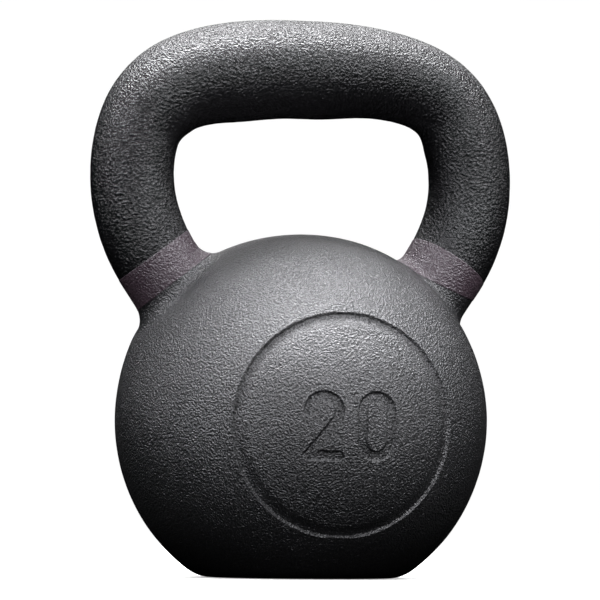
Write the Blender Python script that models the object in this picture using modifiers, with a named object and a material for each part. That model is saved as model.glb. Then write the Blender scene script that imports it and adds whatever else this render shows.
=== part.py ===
"""A 20 kg kettlebell of gravity-cast iron, modelled to size in metres with +Z up.

The real object is one iron casting under a textured powder coat: a ball that is cut flat at the
foot, and a bent bar, the handle, whose two horns grow out of the ball. A painted band round each
horn root shows the weight class. Four solids stand for it:

    bell        the ball with its flat foot, its recessed mark and the stubs of both horns
    handle      the grip bar and both horns, down to the seam inside each band
    band_left   the painted ring round the left horn, over the seam
    band_right  the painted ring round the right horn, over the seam

The origin is the middle of the flat foot, +X runs along the grip, and the marked face looks
towards -Y. Nothing on a kettlebell moves, so the four solids hold fast to each other.
"""

import math

import bmesh
import bpy
from mathutils import Matrix, Vector

# Driving dimensions, in metres.
BALL_RADIUS = 0.08325
BALL_CENTRE = Vector((0.0, 0.0, 0.0697))
FOOT_EDGE_RADIUS = 0.018  # a wide soft edge between the ball and its flat foot

HORN_RADIUS = 0.01865
HORN_LEAN = math.radians(34.0)  # from upright, where the horn leaves the ball
SEAM = (0.0644, 0.1361)  # x and z of the horn's middle, where bell and handle meet
ROOT_FILLET = 0.0030
ROOT_DEPTH = 0.030  # how far a horn stub reaches into the ball, from the seam

# The handle's spine from the right seam to the middle of the grip: x, z and the bar's radius at
# each control point of a cubic B-spline. The left half mirrors it.
SPINE = (
    (0.0728, 0.1485, 0.0190),
    (0.0828, 0.1735, 0.0182),
    (0.0715, 0.2260, 0.0190),
    (0.0000, 0.2286, 0.0237),
)

BAND_FROM = -0.0044  # along the horn, from the seam
BAND_TO = 0.0078
BAND_THICKNESS = 0.0007
GAP = 0.0003  # kept between solids that touch

MARK_TILT = math.radians(-2.8)  # the mark faces forwards and a little down
MARK_ANGLE = math.radians(36.0)  # from the mark's axis to its rim, seen from the ball's centre
MARK_DEPTH = 0.0011
MARK_SHOULDER = math.radians(2.7)  # width of the slope from the groove up to the middle disc

BALL_STEPS = 64
BALL_RINGS = 26
ROOT_STEPS = 48
ROOT_RINGS = 5
SIDES = {"left": -1, "right": 1}


def clear_scene():
    """Takes away whatever objects the file opened with."""
    for old in list(bpy.data.objects):
        bpy.data.objects.remove(old, do_unlink=True)


def new_collection(name):
    """A collection of that name, linked to the scene."""
    collection = bpy.data.collections.new(name)
    bpy.context.scene.collection.children.link(collection)
    return collection


def new_material(name, colour, roughness, metallic):
    """A plain Principled material."""
    material = bpy.data.materials.new(name)
    material.use_nodes = True
    shader = material.node_tree.nodes["Principled BSDF"]
    shader.inputs["Base Color"].default_value = (*colour, 1.0)
    shader.inputs["Roughness"].default_value = roughness
    shader.inputs["Metallic"].default_value = metallic
    return material


def new_object(name, mesh, collection):
    """An object for the mesh, in the collection."""
    made = bpy.data.objects.new(name, mesh)
    collection.objects.link(made)
    return made


def as_cutter(made):
    """Marks an object as a tool for Booleans, which isn't part of the kettlebell."""
    made.hide_render = True
    made.display_type = "WIRE"
    return made


def turned(name, profile, steps, collection, closed=False):
    """A profile of (radius, height) points, turned round the object's own Z axis."""
    count = len(profile)
    edges = [(i, i + 1) for i in range(count - 1)]
    if closed:
        edges.append((count - 1, 0))
    mesh = bpy.data.meshes.new(name)
    mesh.from_pydata([(radius, 0.0, height) for radius, height in profile], edges, [])
    made = new_object(name, mesh, collection)
    screw = made.modifiers.new("turn", "SCREW")
    screw.steps = steps
    screw.render_steps = steps
    screw.use_merge_vertices = True
    screw.merge_threshold = 0.00001
    return made


def boolean(made, operation, tool):
    """Joins the tool to the object, or cuts it away."""
    modifier = made.modifiers.new(operation.lower() + "_" + tool.name, "BOOLEAN")
    modifier.operation = operation
    modifier.object = tool
    modifier.solver = "EXACT"


def horn_frame(side):
    """The horn's own frame at its seam: +Z runs up the horn and +X to the outside."""
    lean = Matrix.Rotation(SIDES[side] * HORN_LEAN, 4, "Y")
    flip = Matrix.Rotation(math.pi if SIDES[side] < 0 else 0.0, 4, "Z")
    return Matrix.Translation((SIDES[side] * SEAM[0], 0.0, SEAM[1])) @ lean @ flip


def ball_profile():
    """The ball's outline from its top, down the outside and round the foot's edge to the middle."""
    # The edge arc touches the ball from inside and the flat foot from above.
    arc_height = FOOT_EDGE_RADIUS
    arc_distance = BALL_RADIUS - FOOT_EDGE_RADIUS
    arc_drop = BALL_CENTRE.z - arc_height
    arc_x = math.sqrt(arc_distance**2 - arc_drop**2)
    last = math.atan2(arc_x, -arc_drop)  # measured from straight up
    profile = []
    for i in range(BALL_RINGS + 1):
        angle = last * i / BALL_RINGS
        height = BALL_CENTRE.z + BALL_RADIUS * math.cos(angle)
        profile.append((BALL_RADIUS * math.sin(angle), height))
    arc_steps = 8
    for i in range(1, arc_steps + 1):
        angle = last + (math.pi - last) * i / arc_steps
        height = arc_height + FOOT_EDGE_RADIUS * math.cos(angle)
        profile.append((arc_x + FOOT_EDGE_RADIUS * math.sin(angle), height))
    profile.append((0.0, 0.0))
    return profile


def root_section(frame, angle):
    """One side of a horn stub: points from the ball's skin, round the fillet, up to the seam.

    A ball of the fillet's radius rolls in the corner between horn and ball. Its centre is that
    radius away from both, which gives its place along the horn at each angle round it.
    """
    centre = frame.inverted() @ BALL_CENTRE
    outward = Vector((math.cos(angle), math.sin(angle), 0.0))
    reach = (HORN_RADIUS + ROOT_FILLET) * outward
    across = (reach - Vector((centre.x, centre.y, 0.0))).length
    height = centre.z + math.sqrt((BALL_RADIUS + ROOT_FILLET) ** 2 - across**2)
    roller = reach + Vector((0.0, 0.0, height))
    to_ball = (centre - roller).normalized()
    start = math.atan2(to_ball.z, to_ball.dot(outward))
    points = []
    # The arc starts a little way inside the ball, so that the two skins cross cleanly.
    sunk = start + 0.12
    for i in range(ROOT_RINGS + 1):
        turn = sunk + (-math.pi - sunk) * i / ROOT_RINGS
        ray = math.cos(turn) * outward + math.sin(turn) * Vector((0.0, 0.0, 1.0))
        points.append(roller + ROOT_FILLET * ray)
    groove = HORN_RADIUS - BAND_THICKNESS - GAP
    points.append(HORN_RADIUS * outward + Vector((0.0, 0.0, BAND_FROM - GAP)))
    points.append(groove * outward + Vector((0.0, 0.0, BAND_FROM - GAP)))
    points.append(groove * outward + Vector((0.0, 0.0, -GAP / 2)))
    return points


def horn_root(side, collection):
    """The stub of a horn with its fillet, lofted through one section for each angle round it."""
    frame = horn_frame(side)
    shape = bmesh.new()
    sections = []
    for i in range(ROOT_STEPS):
        angle = 2 * math.pi * i / ROOT_STEPS
        points = root_section(frame, angle)
        foot = Vector((points[0].x * 0.8, points[0].y * 0.8, -ROOT_DEPTH))
        sections.append([shape.verts.new(point) for point in [foot] + points])
    for one, other in zip(sections, sections[1:] + sections[:1]):
        for i in range(len(one) - 1):
            shape.faces.new((one[i], other[i], other[i + 1], one[i + 1]))
    shape.faces.new([section[0] for section in reversed(sections)])
    shape.faces.new([section[-1] for section in sections])
    mesh = bpy.data.meshes.new("root_" + side)
    shape.to_mesh(mesh)
    shape.free()
    root = as_cutter(new_object("root_" + side, mesh, collection))
    root.matrix_world = frame
    return root


def mark_frame():
    """The mark's frame at the ball's centre: +Z runs out through the middle of the mark."""
    return Matrix.Translation(BALL_CENTRE) @ Matrix.Rotation(math.pi / 2 - MARK_TILT, 4, "X")


def mark_ring(collection):
    """A cutter for the mark's groove: a steep outer wall, a narrow floor and a soft inner slope."""
    above = BALL_RADIUS + 0.001
    floor = BALL_RADIUS - MARK_DEPTH
    inner = MARK_ANGLE - 0.012 - MARK_SHOULDER
    corners = (
        (above, MARK_ANGLE),
        (floor, MARK_ANGLE - 0.002),
        (floor, MARK_ANGLE - 0.012),
        (above, inner - 0.012),
    )
    profile = [(reach * math.sin(a), reach * math.cos(a)) for reach, a in corners]
    ring = as_cutter(turned("mark_ring", profile, 96, collection, closed=True))
    ring.matrix_world = mark_frame()
    return ring


def make_bell(parts, tools, iron):
    """The ball with its flat foot, both horn stubs and the recessed mark."""
    bell = turned("bell", ball_profile(), BALL_STEPS, parts)
    bell.data.materials.append(iron)
    for side in SIDES:
        boolean(bell, "UNION", horn_root(side, tools))
    boolean(bell, "DIFFERENCE", mark_ring(tools))
    return bell


def band_groove(side, collection):
    """A cutter that thins the handle's end, so that the band lies flush with the bar above it."""
    inside = HORN_RADIUS - BAND_THICKNESS - GAP
    outside = HORN_RADIUS + 0.004
    low = -0.002
    high = BAND_TO + GAP
    profile = [(outside, high), (outside, low), (inside, low), (inside, high)]
    ring = as_cutter(turned("groove_" + side, profile, ROOT_STEPS, collection, closed=True))
    ring.matrix_world = horn_frame(side)
    return ring


def make_handle(parts, tools, iron):
    """The grip bar and both horns: a tube along the spine, thinned at its ends for the bands."""
    up_horn = Vector((math.sin(HORN_LEAN), math.cos(HORN_LEAN)))
    start = Vector(SEAM) + up_horn * GAP / 2
    half = [(start.x, start.y, HORN_RADIUS), *SPINE]
    points = [(-x, z, radius) for x, z, radius in half[:-1]] + half[::-1]
    curve = bpy.data.curves.new("handle_spine", "CURVE")
    curve.dimensions = "3D"
    curve.bevel_depth = HORN_RADIUS
    curve.bevel_resolution = 14
    curve.use_fill_caps = True
    curve.resolution_u = 8
    spline = curve.splines.new("NURBS")
    spline.points.add(len(points) - 1)
    for point, (x, z, radius) in zip(spline.points, points):
        point.co = (x, 0.0, z, 1.0)
        point.radius = radius / HORN_RADIUS
    spline.order_u = 4
    spline.use_endpoint_u = True
    guide = new_object("handle_spine", curve, tools)
    graph = bpy.context.evaluated_depsgraph_get()
    mesh = bpy.data.meshes.new_from_object(guide.evaluated_get(graph), depsgraph=graph)
    shape = bmesh.new()
    shape.from_mesh(mesh)
    bmesh.ops.remove_doubles(shape, verts=shape.verts, dist=0.00001)
    bmesh.ops.recalc_face_normals(shape, faces=shape.faces)
    shape.to_mesh(mesh)
    shape.free()
    handle = new_object("handle", mesh, parts)
    handle.matrix_world = guide.matrix_world
    bpy.data.objects.remove(guide, do_unlink=True)
    mesh.materials.clear()
    mesh.materials.append(iron)
    for side in SIDES:
        boolean(handle, "DIFFERENCE", band_groove(side, tools))
    return handle


def make_band(side, parts, paint):
    """The painted ring round a horn root, as a thin sleeve in the groove over the seam."""
    inside = HORN_RADIUS - BAND_THICKNESS
    profile = [
        (HORN_RADIUS, BAND_TO),
        (HORN_RADIUS, BAND_FROM),
        (inside, BAND_FROM),
        (inside, BAND_TO),
    ]
    band = turned("band_" + side, profile, ROOT_STEPS, parts, closed=True)
    band.matrix_world = horn_frame(side)
    band.data.materials.append(paint)
    return band


def main():
    """Builds the kettlebell."""
    clear_scene()
    parts = new_collection("kettlebell")
    tools = new_collection("cutters")
    iron = new_material("powder_coated_iron", (0.012, 0.012, 0.013), 0.3, 0.0)
    paint = new_material("band_paint", (0.060, 0.046, 0.051), 0.4, 0.0)
    origin = new_object("kettlebell_origin", None, parts)
    pieces = [make_bell(parts, tools, iron), make_handle(parts, tools, iron)]
    pieces += [make_band(side, parts, paint) for side in SIDES]
    for piece in pieces:
        piece.parent = origin
        piece.data.shade_smooth()


main()
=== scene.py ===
"""The looks of the 20 kg kettlebell: fine surfaces, powder coat, band paint, light and camera.

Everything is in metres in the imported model's frame: origin in the middle of the flat foot, +Z up,
+X along the grip, the marked face towards -Y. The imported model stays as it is, and each of its
nodes is replaced by a finely meshed piece of the same size:

    bell_casting          the ball, its foot, both horn roots with their fillets, and the mark
    handle_casting        the grip and both horns down to the seams inside the bands
    band_left_paint, band_right_paint   the paint round each horn root
"""

import math

import bmesh
import bpy
import numpy as np
from mathutils import Matrix, Vector, noise


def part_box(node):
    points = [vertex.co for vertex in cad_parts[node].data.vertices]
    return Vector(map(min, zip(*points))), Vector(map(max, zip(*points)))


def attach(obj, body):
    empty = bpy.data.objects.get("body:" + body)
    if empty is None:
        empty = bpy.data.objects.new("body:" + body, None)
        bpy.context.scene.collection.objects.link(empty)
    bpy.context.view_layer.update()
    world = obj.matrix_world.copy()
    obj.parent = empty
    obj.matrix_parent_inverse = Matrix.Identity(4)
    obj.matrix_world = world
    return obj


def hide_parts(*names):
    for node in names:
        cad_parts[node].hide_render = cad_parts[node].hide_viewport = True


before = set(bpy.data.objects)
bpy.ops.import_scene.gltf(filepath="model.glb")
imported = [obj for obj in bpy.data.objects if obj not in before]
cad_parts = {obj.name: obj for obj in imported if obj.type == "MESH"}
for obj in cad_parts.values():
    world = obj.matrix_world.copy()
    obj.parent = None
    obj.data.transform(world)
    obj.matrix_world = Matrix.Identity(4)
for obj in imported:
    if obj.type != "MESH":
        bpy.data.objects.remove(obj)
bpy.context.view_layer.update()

MM = 0.001

# The ball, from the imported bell: it is as deep as the ball is wide, and the ball is its top.
BELL_LOW, BELL_HIGH = (Vector(corner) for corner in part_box("bell"))
BALL_RADIUS = (BELL_HIGH.y - BELL_LOW.y) / 2
BALL_CENTRE = Vector((0.0, 0.0, BELL_HIGH.z - BALL_RADIUS))
FOOT_EDGE = 18.0 * MM

# The horns and the handle's spine, as the CAD model lays them out.
HORN_RADIUS = 18.65 * MM
HORN_LEAN = math.radians(34.0)
SEAM = (64.4 * MM, 136.1 * MM)
SEAM_GAP = 0.3 * MM
SPINE = (
    (72.8 * MM, 148.5 * MM, 19.0 * MM),
    (82.8 * MM, 173.5 * MM, 18.2 * MM),
    (71.5 * MM, 226.0 * MM, 19.0 * MM),
    (0.0, 228.6 * MM, 23.7 * MM),
)
SIDES = {"left": -1, "right": 1}
# The casting is fuller inside its left upper corner and leaner inside the right one.
CORNER_FULLNESS = {"left": 1.05 * MM, "right": -0.95 * MM}

# The fillet between horn and ball, and how far the ball stands out round it: both change from the
# window's side to the outside, and both are less at the front and back.
FILLET_WINDOW = {"left": 11.5 * MM, "right": 8.0 * MM}
FILLET_OUTSIDE = {"left": 14.0 * MM, "right": 11.5 * MM}
SWELL_WINDOW = 0.9 * MM
SWELL_OUTSIDE = {"left": 0.9 * MM, "right": 0.1 * MM}
FRONT_SHARE = 0.5  # of the side's value, at the front and back
STUB_TOP = 4.0 * MM  # the stub is made this much too long, and is then cut at its seam
ROOT_REACH = math.radians(31.0)  # how far from the horn's axis the ball's mesh bends to the root

# The paint ends on two planes that cross the horn's axis at a height from the seam. The planes lean
# a little, as a hand-set mask does: to the horn's outside, then along its frame's +Y, in degrees.
BAND_EDGES = {
    "left": {"top": (7.6 * MM, 3.0, -4.0), "foot": (-8.0 * MM, 4.0, -6.0)},
    "right": {"top": (7.7 * MM, -1.0, 1.0), "foot": (-3.2 * MM, -10.0, -11.0)},
}
PAINT_REACH = 0.62  # share of the fillet's turn beyond which no paint goes
FILLET_POINTS = 24  # on each line down a root, round its fillet
BEYOND_POINTS = 11  # and past it, on the ball
ABOVE_BAND = 24.0 * MM  # how far up the handle each line starts
PAINT = 0.14 * MM  # how far the paint stands over the iron
ROOT_CALM = 26.0 * MM  # round each seam the skin stays even

MARK_TILT = math.radians(-2.8)
MARK_RADIUS = BALL_RADIUS * math.sin(math.radians(36.0))
MARK_DEPTH = 1.15 * MM

BALL_CELLS = 60  # per edge of the ball's six patches
MARK_CUTS = 2  # further cuts of each cell's edge under the mark
EDGE_CUTS = 2  # and again along the edges of the figures and ring
HANDLE_PITCH = 0.72 * MM


def smoothstep(x):
    """0 below 0, 1 above 1 and a smooth ramp between."""
    x = np.clip(x, 0.0, 1.0)
    return x * x * (3.0 - 2.0 * x)


def mesh_object(name, points, faces):
    """A smooth-shaded object from an array of points and lists of corners."""
    mesh = bpy.data.meshes.new(name)
    mesh.from_pydata([tuple(point) for point in points], [], faces)
    mesh.validate()
    mesh.shade_smooth()
    made = bpy.data.objects.new(name, mesh)
    bpy.context.scene.collection.objects.link(made)
    return made


def horn_frame(side):
    """The horn's frame at its seam: +Z up the horn, +X to the outside."""
    lean = Matrix.Rotation(SIDES[side] * HORN_LEAN, 4, "Y")
    flip = Matrix.Rotation(math.pi if SIDES[side] < 0 else 0.0, 4, "Z")
    return Matrix.Translation((SIDES[side] * SEAM[0], 0.0, SEAM[1])) @ lean @ flip


def moved(points, matrix):
    """An array of points taken through a 4 by 4 matrix."""
    m = np.array(matrix)
    return points @ m[:3, :3].T + m[:3, 3]


# ---------------------------------------------------------------- the casting's uneven skin


def casting_noise(points, wavelength, seed):
    """Smooth noise of about +-1 at each point, the same every run."""
    shift = Vector((seed * 3.1, seed * 5.7, seed * 7.3))
    scaled = points / wavelength
    return np.array([noise.noise(Vector(p) + shift) for p in scaled])


def mesh_normals(made):
    """The vertex normals as an array."""
    count = len(made.data.vertices)
    normals = np.empty(count * 3)
    made.data.vertex_normals.foreach_get("vector", normals)
    return normals.reshape(-1, 3)


def mesh_points(made):
    """The vertices as an array."""
    points = np.empty(len(made.data.vertices) * 3)
    made.data.vertices.foreach_get("co", points)
    return points.reshape(-1, 3)


def roughen(made, layers, keep=None):
    """Moves the skin along its normals by layers of (height, wavelength) noise.

    keep is 0 where the skin must stay where it is and 1 where it may move.
    """
    points = mesh_points(made)
    lift = np.zeros(len(points))
    for i, (height, wavelength) in enumerate(layers):
        lift += height * casting_noise(points, wavelength, i + 1)
    if keep is not None:
        lift *= keep
    points = points + mesh_normals(made) * lift[:, None]
    made.data.vertices.foreach_set("co", points.ravel())
    made.data.update()


# ---------------------------------------------------------------- horn roots


def root_sections(side, angles):
    """For each angle round the horn, the fillet between horn and ball.

    A ball of the fillet's radius rolls in the corner; its centre is that radius from both.
    Returns the fillet's radius, its rolling centre, the direction from the horn's axis to that
    centre, and the angle that the fillet turns through, all in the horn's frame.
    """
    centre = np.array(horn_frame(side).inverted() @ BALL_CENTRE)
    mix = 0.5 - 0.5 * np.cos(angles)
    fillet = FILLET_OUTSIDE[side] + (FILLET_WINDOW[side] - FILLET_OUTSIDE[side]) * mix
    fillet *= 1.0 - (1.0 - FRONT_SHARE) * np.sin(angles) ** 2
    outward = np.stack([np.cos(angles), np.sin(angles), np.zeros_like(angles)], -1)
    reach = (HORN_RADIUS + fillet)[:, None] * outward
    across = np.linalg.norm((reach - centre)[:, :2], axis=1)
    height = centre[2] + np.sqrt((BALL_RADIUS + fillet) ** 2 - across**2)
    roller = reach + height[:, None] * np.array([0.0, 0.0, 1.0])
    to_ball = centre - roller
    to_ball /= np.linalg.norm(to_ball, axis=1)[:, None]
    turn = np.arctan2(np.abs(to_ball[:, 2]), -(to_ball * outward).sum(1))
    return fillet, roller, outward, turn


def fillet_point(fillet, roller, outward, turn):
    """The point that lies turn round the fillet, from where it leaves the horn."""
    up = np.array([0.0, 0.0, 1.0])
    ray = -np.cos(turn)[:, None] * outward - np.sin(turn)[:, None] * up
    return roller + fillet[:, None] * ray


def between_on_ball(start, end, share):
    """Points on a great circle of the unit sphere, share of the way from start to end."""
    angle = np.arccos(np.clip((start * end).sum(1), -1.0, 1.0))
    flat = np.sin(angle) < 1e-9
    sine = np.where(flat, 1.0, np.sin(angle))
    first = np.where(flat, 1.0 - share, np.sin((1.0 - share) * angle) / sine)
    second = np.where(flat, share, np.sin(share * angle) / sine)
    return first[:, None] * start + second[:, None] * end


def bend_to_root(points, side):
    """Draws the ball's mesh round one horn axis up through the fillet into the horn's stub.

    Cells keep their order: going out from the axis they cover the stub's end, its side, the
    fillet and then the ball, in proportion to the lengths of those stretches.
    """
    axes = horn_frame(side)
    inverse = axes.inverted()
    centre = inverse @ BALL_CENTRE
    pierce = centre.z + math.sqrt(BALL_RADIUS**2 - centre.x**2)
    local = moved(points, inverse)
    pole = np.array([-centre.x, 0.0, pierce - centre.z]) / BALL_RADIUS
    unit = (local - np.array(centre)) / BALL_RADIUS
    span = np.arccos(np.clip(unit @ pole, -1.0, 1.0))
    near = span < ROOT_REACH
    unit = unit[near]
    span = span[near]
    east = np.array([pole[2], 0.0, -pole[0]])
    north = np.array([0.0, 1.0, 0.0])
    angles = np.arctan2(unit @ north, unit @ east)
    fillet, roller, outward, turn = root_sections(side, angles)
    touch = (fillet_point(fillet, roller, outward, turn) - np.array(centre)) / BALL_RADIUS
    rim = math.cos(ROOT_REACH) * pole + math.sin(ROOT_REACH) * (
        np.cos(angles)[:, None] * east + np.sin(angles)[:, None] * north
    )
    on_ball = np.arccos(np.clip((touch * rim).sum(1), -1.0, 1.0)) * BALL_RADIUS
    lengths = np.stack(
        [
            np.full_like(angles, HORN_RADIUS),
            STUB_TOP - roller[:, 2],
            fillet * turn,
            on_ball,
        ],
        -1,
    )
    ends = np.cumsum(lengths, axis=1)
    along = span / ROOT_REACH * ends[:, -1]
    up = np.array([0.0, 0.0, 1.0])
    on_end = along[:, None] * outward + STUB_TOP * up
    on_side = HORN_RADIUS * outward + (STUB_TOP - (along - ends[:, 0]))[:, None] * up
    turned = np.clip((along - ends[:, 1]) / fillet, 0.0, turn)
    on_fillet = fillet_point(fillet, roller, outward, turned)
    share = np.clip((along - ends[:, 2]) / np.maximum(on_ball, 1e-9), 0.0, 1.0)
    on_skin = np.array(centre) + BALL_RADIUS * between_on_ball(touch, rim, share)
    placed = np.where((along < ends[:, 2])[:, None], on_fillet, on_skin)
    placed = np.where((along < ends[:, 1])[:, None], on_side, placed)
    placed = np.where((along < ends[:, 0])[:, None], on_end, placed)
    result = points.copy()
    result[near] = moved(placed, axes)
    return result


def swell(points):
    """Makes the ball a little fuller round each horn root, and further out on the window's side."""
    rest = points - np.array(BALL_CENTRE)
    fuller = np.zeros(len(points))
    for side in SIDES:
        local = moved(points, horn_frame(side).inverted())
        away = np.hypot(local[:, 0], local[:, 1])
        window = 0.5 - 0.5 * local[:, 0] / np.maximum(away, 1e-9)
        front = (local[:, 1] / np.maximum(away, 1e-9)) ** 2
        rise = smoothstep((away - HORN_RADIUS) / (10.0 * MM))
        fade = smoothstep((away - 20.0 * MM) / (30.0 * MM + 30.0 * MM * window))
        amount = SWELL_OUTSIDE[side] + (SWELL_WINDOW - SWELL_OUTSIDE[side]) * window
        amount *= 1.0 - (1.0 - FRONT_SHARE) * front
        fuller += np.where(local[:, 2] > -60.0 * MM, amount * rise * (1.0 - fade), 0.0)
    return points + rest / np.linalg.norm(rest, axis=1)[:, None] * fuller[:, None]


# ---------------------------------------------------------------- foot


def flatten_foot(points):
    """Draws the ball's underside onto the flat foot and the rounded edge round it."""
    height = BALL_CENTRE.z
    edge_x = math.sqrt((BALL_RADIUS - FOOT_EDGE) ** 2 - (height - FOOT_EDGE) ** 2)
    edge_turn = math.atan2(edge_x, height - FOOT_EDGE)
    reach = math.radians(52.0)
    rest = points - np.array(BALL_CENTRE)
    span = np.arccos(np.clip(-rest[:, 2] / BALL_RADIUS, -1.0, 1.0))
    near = span < reach
    angle = np.arctan2(rest[near, 1], rest[near, 0])
    whole = edge_x + FOOT_EDGE * edge_turn + BALL_RADIUS * (reach - edge_turn)
    along = span[near] / reach * whole
    turn = np.clip((along - edge_x) / FOOT_EDGE, 0.0, edge_turn)
    skin = edge_turn + np.maximum(along - edge_x - FOOT_EDGE * edge_turn, 0.0) / BALL_RADIUS
    out = np.where(along < edge_x, along, edge_x + FOOT_EDGE * np.sin(turn))
    up = np.where(along < edge_x, 0.0, FOOT_EDGE * (1.0 - np.cos(turn)))
    on_skin = skin > edge_turn
    out = np.where(on_skin, BALL_RADIUS * np.sin(skin), out)
    up = np.where(on_skin, height - BALL_RADIUS * np.cos(skin), up)
    result = points.copy()
    result[near] = np.stack([out * np.cos(angle), out * np.sin(angle), up], -1)
    return result


# ---------------------------------------------------------------- the weight mark

# The mark is one plain number, in round strokes of even width like the lettering on a drawing.
FIGURE_HEIGHT = 30.0 * MM
FIGURE_WIDTH = 17.5 * MM
FIGURE_GAP = 6.0 * MM
FIGURE_DEPTH = 1.05 * MM
STROKE = 4.4 * MM
WALL = 0.95 * MM


def run_distance(u, v, x0, y0, x1, y1):
    """Distance from the straight run between two points."""
    length = math.hypot(x1 - x0, y1 - y0)
    ax, ay = (x1 - x0) / length, (y1 - y0) / length
    along = np.clip((u - x0) * ax + (v - y0) * ay, 0.0, length)
    return np.hypot(u - x0 - along * ax, v - y0 - along * ay)


def zero_distance(u, v, radius, half):
    """Distance from the middle line of a 0: two round ends joined by straight sides."""
    rise = half - radius
    return np.abs(run_distance(u, v, 0.0, -rise, 0.0, rise) - radius)


def two_distance(u, v, radius, half):
    """Distance from the middle line of a 2: a round top, a slope that leaves it, and a foot."""
    top = half - radius
    leave = 2.0 * math.atan(radius / (half + top))  # the slope is tangent to the round top
    bend = np.abs(np.hypot(u, v - top) - radius)
    tip = np.hypot(u + radius, v - top)
    bend = np.where(np.arctan2(v - top, u) > -leave, bend, tip)
    start_x, start_y = radius * math.cos(leave), top - radius * math.sin(leave)
    slope = run_distance(u, v, start_x, start_y, -radius, -half)
    foot = run_distance(u, v, -radius, -half, radius, -half)
    return np.minimum(bend, np.minimum(slope, foot))


def figure_distance(u, v):
    """Distance outside the strokes of the number 20 in the mark's middle, negative inside."""
    radius = (FIGURE_WIDTH - STROKE) / 2
    half = (FIGURE_HEIGHT - STROKE) / 2
    place = (FIGURE_WIDTH + FIGURE_GAP) / 2
    two = two_distance(u + place, v, radius, half)
    zero = zero_distance(u - place, v, radius, half)
    return np.minimum(two, zero) - STROKE / 2


def mark_depth(u, v):
    """How deep the mark is sunk at (u, v) on its face: ring groove, disc and figures."""
    inward = MARK_RADIUS - np.hypot(u, v)
    wall = smoothstep((inward + 0.1 * MM) / (0.9 * MM))
    rise = smoothstep((inward - 1.5 * MM) / (4.6 * MM))
    ring = MARK_DEPTH * wall * (1.0 - 0.82 * rise)
    return ring + FIGURE_DEPTH * smoothstep(0.3 - figure_distance(u, v) / WALL)


def mark_axes():
    """The mark's outward axis and its up axis on the ball."""
    face = np.array([0.0, -math.cos(MARK_TILT), math.sin(MARK_TILT)])
    up = np.array([0.0, math.sin(MARK_TILT), math.cos(MARK_TILT)])
    return face, up


def press_mark(points):
    """Sinks the weight mark into the ball's front."""
    rest = points - np.array(BALL_CENTRE)
    face, up = mark_axes()
    u = rest[:, 0]
    v = rest @ up
    near = (rest @ face > 0.0) & (np.hypot(u, v) < MARK_RADIUS + 1.0 * MM)
    depth = np.zeros(len(points))
    depth[near] = mark_depth(u[near], v[near])
    return points - rest / BALL_RADIUS * depth[:, None]


# ---------------------------------------------------------------- the castings


def ball_grid():
    """A cube of even cells rounded to the ball, finer under the mark and round the horn roots."""
    grid = bmesh.new()
    bmesh.ops.create_cube(grid, size=2.0)
    bmesh.ops.subdivide_edges(
        grid, edges=grid.edges[:], cuts=BALL_CELLS - 1, use_grid_fill=True
    )
    tilt = Matrix.Rotation(-MARK_TILT, 3, "X")

    def on_ball(spot):
        flat = Vector([math.tan(value * math.pi / 4) for value in spot])
        return tilt @ flat.normalized()

    face_axis, up_axis = mark_axes()
    mark_reach = math.cos(math.asin(MARK_RADIUS / BALL_RADIUS) + math.radians(1.6))
    roots = [np.array(horn_frame(side).translation - BALL_CENTRE) for side in SIDES]
    root_reach = math.cos(math.radians(25.0))

    def cut(chosen, cuts):
        # Dictionary keys keep their order and a set doesn't, so the mesh is the same every run.
        edges = list(dict.fromkeys(edge for face in chosen for edge in face.edges))
        bmesh.ops.subdivide_edges(grid, edges=edges, cuts=cuts, use_grid_fill=True)

    def spots():
        grid.faces.ensure_lookup_table()
        return np.array([on_ball(face.calc_center_median()) for face in grid.faces])

    at = spots()
    under_mark = at @ face_axis > mark_reach
    round_roots = np.any([at @ root / np.linalg.norm(root) > root_reach for root in roots], 0)
    first = [face for face, chosen in zip(grid.faces, under_mark) if chosen]
    second = [face for face, chosen in zip(grid.faces, round_roots & ~under_mark) if chosen]
    cut(first, MARK_CUTS)
    cut(second, 1)
    at = spots()
    u = at[:, 0] * BALL_RADIUS
    v = at @ up_axis * BALL_RADIUS
    near = at @ face_axis > mark_reach
    ring = np.hypot(u, v) - MARK_RADIUS
    edge = (np.abs(figure_distance(u, v)) < 1.0 * MM) | (np.abs(ring + 0.4 * MM) < 1.2 * MM)
    cut([face for face, chosen in zip(grid.faces, near & edge) if chosen], EDGE_CUTS)
    grid.verts.index_update()
    cube = np.array([vert.co for vert in grid.verts])
    faces = [[vert.index for vert in face.verts] for face in grid.faces]
    grid.free()
    cube = np.tan(cube * math.pi / 4)
    cube /= np.linalg.norm(cube, axis=1)[:, None]
    return BALL_RADIUS * cube @ np.array(tilt).T + np.array(BALL_CENTRE), faces


def trim_stub(made, side):
    """Cuts a horn's stub square at its seam and closes it."""
    axes = horn_frame(side)
    middle = axes @ Vector((0.0, 0.0, -SEAM_GAP / 2))
    up = axes.to_3x3() @ Vector((0.0, 0.0, 1.0))
    shape = bmesh.new()
    shape.from_mesh(made.data)
    near = [
        face
        for face in shape.faces
        if (face.calc_center_median() - middle).length < 2.0 * HORN_RADIUS
        and (face.calc_center_median() - middle).dot(up) > -0.004
    ]
    parts = dict.fromkeys(near)
    for face in near:
        parts.update(dict.fromkeys(face.edges))
        parts.update(dict.fromkeys(face.verts))
    cut = bmesh.ops.bisect_plane(
        shape, geom=list(parts), plane_co=middle, plane_no=up, clear_outer=True
    )
    rim = [item for item in cut["geom_cut"] if isinstance(item, bmesh.types.BMEdge)]
    bmesh.ops.holes_fill(shape, edges=rim)
    shape.to_mesh(made.data)
    shape.free()
    made.data.update()


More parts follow.
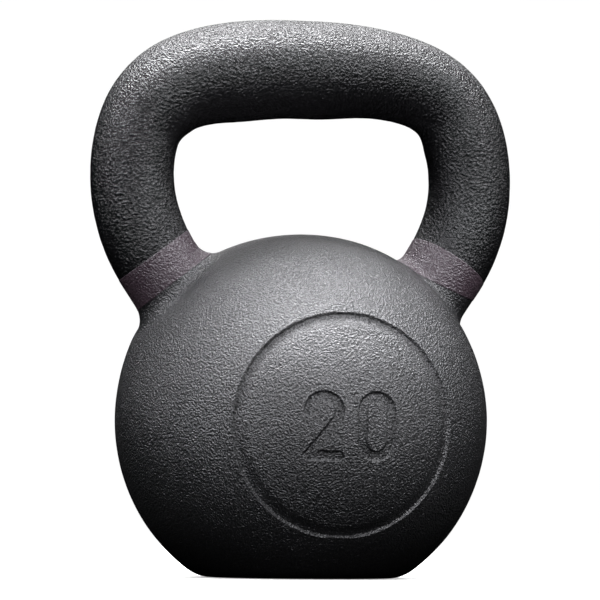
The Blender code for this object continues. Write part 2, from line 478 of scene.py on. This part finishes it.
def make_bell():
    """The ball with its foot, mark and both horn roots."""
    points, faces = ball_grid()
    points = press_mark(points)
    points = flatten_foot(points)
    for side in SIDES:
        points = bend_to_root(points, side)
    points = swell(points)
    bell = mesh_object("bell_casting", points, faces)
    keep = smoothstep((points[:, 2] - 1.0 * MM) / (6.0 * MM))
    for side in SIDES:
        away = np.linalg.norm(points - np.array(horn_frame(side).translation), axis=1)
        keep *= smoothstep((away - ROOT_CALM) / (8.0 * MM))
    roughen(bell, ((0.10 * MM, 38.0 * MM), (0.035 * MM, 7.0 * MM)), keep)
    for side in SIDES:
        trim_stub(bell, side)
    return bell


def spline_points(controls, at):
    """Points of a clamped, even cubic B-spline through its control points, at 0 to 1."""
    controls = np.array(controls, dtype=float)
    degree = 3
    spans = len(controls) - degree
    knots = np.concatenate([[0.0] * degree, np.linspace(0.0, 1.0, spans + 1), [1.0] * degree])
    at = np.clip(at, 0.0, 1.0 - 1e-12)
    steps = zip(knots[:-1], knots[1:])
    weight = [np.where((low <= at) & (at < high), 1.0, 0.0) for low, high in steps]
    for level in range(1, degree + 1):
        raised = []
        for i in range(len(knots) - 1 - level):
            value = np.zeros_like(at)
            rise = knots[i + level] - knots[i]
            fall = knots[i + level + 1] - knots[i + 1]
            if rise > 0.0:
                value = value + (at - knots[i]) / rise * weight[i]
            if fall > 0.0:
                value = value + (knots[i + level + 1] - at) / fall * weight[i + 1]
            raised.append(value)
        weight = raised
    return sum(w[:, None] * c for w, c in zip(weight, controls))


def spine_stations():
    """Evenly spaced points down the middle of the handle: x, z, radius and the way along."""
    start_x = SEAM[0] + math.sin(HORN_LEAN) * SEAM_GAP / 2
    start_z = SEAM[1] + math.cos(HORN_LEAN) * SEAM_GAP / 2
    half = [(start_x, start_z, HORN_RADIUS), *SPINE]
    controls = [(-x, z, radius) for x, z, radius in half[:-1]] + half[::-1]
    dense = spline_points(controls, np.linspace(0.0, 1.0, 4001))
    walked = np.concatenate([[0.0], np.cumsum(np.hypot(*np.diff(dense[:, :2], axis=0).T))])
    count = int(walked[-1] / HANDLE_PITCH)
    at = np.linspace(0.0, walked[-1], count + 1)
    stations = np.stack([np.interp(at, walked, dense[:, i]) for i in range(3)], -1)
    way = np.gradient(stations[:, :2], axis=0)
    way /= np.linalg.norm(way, axis=1)[:, None]
    lean = np.array([math.sin(HORN_LEAN), math.cos(HORN_LEAN)])
    way[0] = (-lean[0], lean[1])
    way[-1] = (-lean[0], -lean[1])
    # The corner's inner skin moves by twice the fullness and its outer skin stays.
    for side, fullness in CORNER_FULLNESS.items():
        out = SIDES[side] * stations[:, 0]
        rise = smoothstep((stations[:, 1] - 196.0 * MM) / (18.0 * MM))
        fade = smoothstep((36.0 * MM - out) / (32.0 * MM))
        more = np.where(out > 0.0, fullness * rise * (1.0 - fade), 0.0)
        stations[:, 0] += more * way[:, 1]
        stations[:, 1] -= more * way[:, 0]
        stations[:, 2] += more
    return stations, way


def handle_rings(stations, way, angles):
    """Points round the handle's middle line, one row of angles for each station."""
    middle = np.stack([stations[:, 0], np.zeros(len(stations)), stations[:, 1]], -1)
    out = np.stack([-way[:, 1], np.zeros(len(way)), way[:, 0]], -1)
    back = np.array([0.0, 1.0, 0.0])
    ring = np.cos(angles)[None, :, None] * out[:, None] + np.sin(angles)[None, :, None] * back
    return middle[:, None] + stations[:, 2][:, None, None] * ring


def make_handle():
    """The grip and both horns: round sections along the spine, closed at both seams."""
    stations, way = spine_stations()
    around = int(2 * math.pi * HORN_RADIUS / HANDLE_PITCH)
    angles = np.linspace(0.0, 2 * math.pi, around, endpoint=False)
    points = handle_rings(stations, way, angles)
    faces = []
    for i in range(len(stations) - 1):
        here, there = i * around, (i + 1) * around
        for j in range(around):
            k = (j + 1) % around
            faces.append((here + j, here + k, there + k, there + j))
    last = (len(stations) - 1) * around
    faces.append(tuple(range(around))[::-1])
    faces.append(tuple(range(last, last + around)))
    handle = mesh_object("handle_casting", points.reshape(-1, 3), faces)
    walked = np.arange(len(stations)) * HANDLE_PITCH
    inside = np.minimum(walked, walked[::-1]) - 11.0 * MM
    keep = np.repeat(smoothstep(inside / (6.0 * MM)), around)
    layers = ((0.16 * MM, 30.0 * MM), (0.05 * MM, 5.0 * MM), (0.04 * MM, 2.4 * MM))
    roughen(handle, layers, keep)
    return handle


def root_lines(side, angles):
    """Lines of points down the iron's skin, one for each angle round the horn.

    Each runs from well above the band down the handle, over the seam, down the stub and the
    fillet, and out on to the ball.
    """
    stations, way = spine_stations()
    turn_back = side == "right"
    if turn_back:
        stations, way = stations[::-1], way[::-1]
    rows = int(ABOVE_BAND / HANDLE_PITCH)
    ring_angles = angles if turn_back else -angles
    rings = handle_rings(stations[rows:0:-1], way[rows:0:-1], ring_angles)
    above = rings.transpose(1, 0, 2)
    fillet, roller, outward, turn = root_sections(side, angles)
    centre = np.array(horn_frame(side).inverted() @ BALL_CENTRE)
    up = np.array([0.0, 0.0, 1.0])
    below = []
    for share in np.linspace(0.0, 1.0, 12)[:-1]:
        below.append(HORN_RADIUS * outward + (roller[:, 2] * share)[:, None] * up)
    for share in np.linspace(0.0, 1.0, FILLET_POINTS):
        below.append(fillet_point(fillet, roller, outward, share * turn))
    touch = (below[-1] - centre) / BALL_RADIUS
    away = outward - (outward * touch).sum(1)[:, None] * touch
    away /= np.linalg.norm(away, axis=1)[:, None]
    for step in np.linspace(0.0, 8.0 * MM / BALL_RADIUS, BEYOND_POINTS + 1)[1:]:
        below.append(centre + BALL_RADIUS * (math.cos(step) * touch + math.sin(step) * away))
    below = np.array(below).transpose(1, 0, 2)
    shape = below.shape
    below = swell(moved(below.reshape(-1, 3), horn_frame(side))).reshape(shape)
    return np.concatenate([above, below], axis=1)


def cut_lines(lines, side, edge):
    """How far down each line, in points, the plane of one band edge crosses it."""
    height, out_lean, y_lean = edge
    axes = horn_frame(side)
    normal = Vector((math.tan(math.radians(out_lean)), math.tan(math.radians(y_lean)), 1.0))
    normal = np.array((axes.to_3x3() @ normal).normalized())
    middle = np.array(axes @ Vector((0.0, 0.0, height)))
    drop = (lines - middle) @ normal
    places = np.arange(lines.shape[1])
    return np.array([np.interp(0.0, -row, places) for row in drop])


def make_band(side):
    """The paint round a horn root: a closed skin that follows the horn and its fillet."""
    around = 320
    rows = 44
    angles = np.linspace(0.0, 2 * math.pi, around, endpoint=False)
    lines = root_lines(side, angles)
    first = cut_lines(lines, side, BAND_EDGES[side]["top"])
    last = cut_lines(lines, side, BAND_EDGES[side]["foot"])
    # The lower edge eases into the line across the fillet that the paint doesn't pass.
    limit = lines.shape[1] - BEYOND_POINTS - 1 - (1.0 - PAINT_REACH) * (FILLET_POINTS - 1)
    spare = limit - last
    last = limit - 0.5 * (spare + np.sqrt(spare**2 + 4.0))
    places = np.arange(lines.shape[1])
    skin = np.empty((rows, around, 3))
    for j in range(around):
        at = np.linspace(first[j], last[j], rows)
        for axis in range(3):
            skin[:, j, axis] = np.interp(at, places, lines[j, :, axis])
    along = np.gradient(skin, axis=0)
    across = np.roll(skin, -1, axis=1) - np.roll(skin, 1, axis=1)
    normals = np.cross(along, across)
    normals /= np.linalg.norm(normals, axis=2)[:, :, None]
    outer = skin + PAINT * normals
    inner = skin - 0.4 * MM * normals
    loop = np.concatenate([outer, inner[::-1]])
    faces = []
    for i in range(len(loop)):
        here, below = i * around, (i + 1) % len(loop) * around
        for j in range(around):
            k = (j + 1) % around
            faces.append((here + j, below + j, below + k, here + k))
    return mesh_object("band_" + side + "_paint", loop.reshape(-1, 3), faces)


# ---------------------------------------------------------------- materials

COAT_TINT = (0.95, 0.95, 1.0)


def new_material(name):
    """A material with a Principled shader; returns it with its node tree and shader."""
    material = bpy.data.materials.new(name)
    material.use_nodes = True
    tree = material.node_tree
    return material, tree, tree.nodes["Principled BSDF"]


def add_node(tree, kind, **settings):
    """A node with its properties and unlinked inputs set."""
    node = tree.nodes.new(kind)
    for key, value in settings.items():
        if key in node.inputs:
            node.inputs[key].default_value = value
        else:
            setattr(node, key, value)
    return node


def powder_coat(name, colour, grain, height, roughness, sheen):
    """Textured powder coat: a skin of rounded ridges, glossier on their tops than between."""
    material, tree, shader = new_material(name)
    place = add_node(tree, "ShaderNodeTexCoord")
    ridges = add_node(tree, "ShaderNodeTexNoise", Scale=1.0 / grain, Detail=2.0, Roughness=0.55)
    bump = add_node(tree, "ShaderNodeBump", Distance=height, Strength=1.0)
    gloss = add_node(tree, "ShaderNodeMapRange")
    tree.links.new(place.outputs["Object"], ridges.inputs["Vector"])
    tree.links.new(ridges.outputs["Fac"], bump.inputs["Height"])
    tree.links.new(ridges.outputs["Fac"], gloss.inputs["Value"])
    tree.links.new(bump.outputs["Normal"], shader.inputs["Normal"])
    tree.links.new(gloss.outputs["Result"], shader.inputs["Specular IOR Level"])
    gloss.inputs["From Min"].default_value = 0.38
    gloss.inputs["From Max"].default_value = 0.64
    gloss.inputs["To Min"].default_value = sheen[0]
    gloss.inputs["To Max"].default_value = sheen[1]
    shader.inputs["Base Color"].default_value = (*colour, 1.0)
    shader.inputs["Specular Tint"].default_value = (*COAT_TINT, 1.0)
    shader.inputs["Roughness"].default_value = roughness
    return material


# ---------------------------------------------------------------- camera, light and floor

CAMERA_TURN = math.radians(15.2)  # from straight in front, to the part's left


def make_camera():
    """A long lens, a little above the floor, that sees the front from its left."""
    target = Vector((-0.8 * MM, 0.0, 124.1 * MM))
    turn = -CAMERA_TURN
    rise = math.radians(-1.5)
    distance = 20.0 * BALL_RADIUS
    away = Vector(
        (math.sin(turn) * math.cos(rise), -math.cos(turn) * math.cos(rise), math.sin(rise))
    )
    data = bpy.data.cameras.new("camera")
    data.lens = 223.0
    data.sensor_width = 36.0
    camera = bpy.data.objects.new("camera", data)
    bpy.context.scene.collection.objects.link(camera)
    camera.location = BALL_CENTRE + distance * away
    look = (target - camera.location).to_track_quat("-Z", "Y").to_matrix().to_4x4()
    roll = Matrix.Rotation(math.radians(0.45), 4, "Z")
    camera.matrix_world = Matrix.Translation(camera.location) @ look @ roll
    bpy.context.scene.camera = camera


def softbox(name, azimuth, elevation, distance, size, radiance):
    """A soft box facing the part; azimuth 0 is the camera's side and 90 is to the right."""
    turn = math.radians(azimuth - 90.0) - CAMERA_TURN
    rise = math.radians(elevation)
    away = Vector(
        (math.cos(turn) * math.cos(rise), math.sin(turn) * math.cos(rise), math.sin(rise))
    )
    data = bpy.data.lights.new(name, "AREA")
    data.shape = "RECTANGLE"
    data.size, data.size_y = size
    data.energy = radiance * math.pi * size[0] * size[1]
    light = bpy.data.objects.new(name, data)
    bpy.context.scene.collection.objects.link(light)
    light.location = Vector((0.0, 0.0, 0.125)) + distance * away
    light.rotation_euler = (-away).to_track_quat("-Z", "Y").to_euler()
    light.visible_camera = False


# Name, azimuth, elevation, distance, size and radiance of each soft box.
SOFTBOXES = (
    ("top_back", 180.0, 75.0, 1.4, (1.2, 0.6), 30.0),
    ("front_mid", 0.0, 40.0, 1.6, (1.1, 0.6), 6.5),
    ("front_low", 0.0, 13.0, 1.6, (1.1, 0.6), 5.5),
    ("left_high", 285.0, 45.0, 1.6, (1.0, 0.8), 11.5),
    ("right_high", 75.0, 45.0, 1.6, (1.0, 0.8), 11.5),
    ("right_low", 85.0, 12.0, 1.6, (1.0, 0.7), 0.8),
    ("back", 180.0, 40.0, 1.6, (1.6, 1.0), 0.7),
)


def make_floor():
    """A plain pale floor that turns as white as the wall away from the part."""
    bpy.ops.mesh.primitive_circle_add(vertices=64, radius=6.0, fill_type="NGON")
    floor = bpy.context.active_object
    floor.name = "floor"
    floor.location.z = -0.2 * MM
    material, tree, shader = new_material("floor_paint")
    place = add_node(tree, "ShaderNodeTexCoord")
    reach = add_node(tree, "ShaderNodeVectorMath", operation="LENGTH")
    glow = add_node(tree, "ShaderNodeMapRange")
    for socket, value in (("From Min", 0.4), ("From Max", 1.2), ("To Min", 0.5), ("To Max", 1.0)):
        glow.inputs[socket].default_value = value
    tree.links.new(place.outputs["Object"], reach.inputs["Vector"])
    tree.links.new(reach.outputs["Value"], glow.inputs["Value"])
    tree.links.new(glow.outputs["Result"], shader.inputs["Emission Strength"])
    shader.inputs["Emission Color"].default_value = (1.0, 1.0, 1.0, 1.0)
    shader.inputs["Base Color"].default_value = (0.8, 0.8, 0.8, 1.0)
    shader.inputs["Roughness"].default_value = 0.9
    floor.data.materials.append(material)
    return floor


def make_wall():
    """A white wall all round the stage."""
    bpy.ops.mesh.primitive_uv_sphere_add(segments=64, ring_count=32, radius=5.5)
    wall = bpy.context.active_object
    wall.name = "studio_wall"
    material, _, shader = new_material("wall_white")
    shader.inputs["Base Color"].default_value = (0.0, 0.0, 0.0, 1.0)
    shader.inputs["Emission Color"].default_value = (1.0, 1.0, 1.0, 1.0)
    shader.inputs["Emission Strength"].default_value = 1.0
    wall.data.materials.append(material)
    wall.visible_shadow = False
    return wall


def make_stage():
    """The floor and the wall, neither of which shows or glows in the iron."""
    for piece in (make_floor(), make_wall()):
        piece.visible_diffuse = False
        piece.visible_glossy = False


def make_light():
    """Large soft boxes, most of the light from above, and a display with plain contrast."""
    scene = bpy.context.scene
    scene.view_settings.view_transform = "Standard"
    world = bpy.data.worlds.new("surround")
    scene.world = world
    world.use_nodes = True
    world.node_tree.nodes["Background"].inputs["Strength"].default_value = 0.0
    for box in SOFTBOXES:
        softbox(*box)


def main():
    """Builds the pieces, dresses them, hides the imported parts and hangs the new pieces on one
    body.
    """
    # The bell and the handle carry one coat. The handle's copy is painted shade: its base colour is
    # darker and its sheen lower than the bell's, so that the handle looks less lit, and the bell's
    # copy has more sheen as painted sheen.
    black = (0.012, 0.012, 0.013)
    handle_painted_shade_black = (0.004, 0.004, 0.0045)
    mauve = (0.054, 0.037, 0.048)
    iron = powder_coat("bell_coat", black, 0.88 * MM, 1.0 * MM, 0.29, (0.7, 1.4))
    grip = powder_coat("handle_coat", handle_painted_shade_black, 1.08 * MM, 1.1 * MM, 0.27, (0.3, 0.8))
    paint = powder_coat("band_coat", mauve, 0.95 * MM, 0.9 * MM, 0.28, (0.5, 1.2))
    bell = make_bell()
    bell.data.materials.append(iron)
    handle = make_handle()
    handle.data.materials.append(grip)
    bands = {side: make_band(side) for side in SIDES}
    for band in bands.values():
        band.data.materials.append(paint)
    make_camera()
    make_stage()
    make_light()
    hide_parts("bell")
    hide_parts("handle")
    for piece in (bell, handle, *bands.values()):
        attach(piece, "root")
    for side, band in bands.items():
        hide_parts("band_" + side)


main()
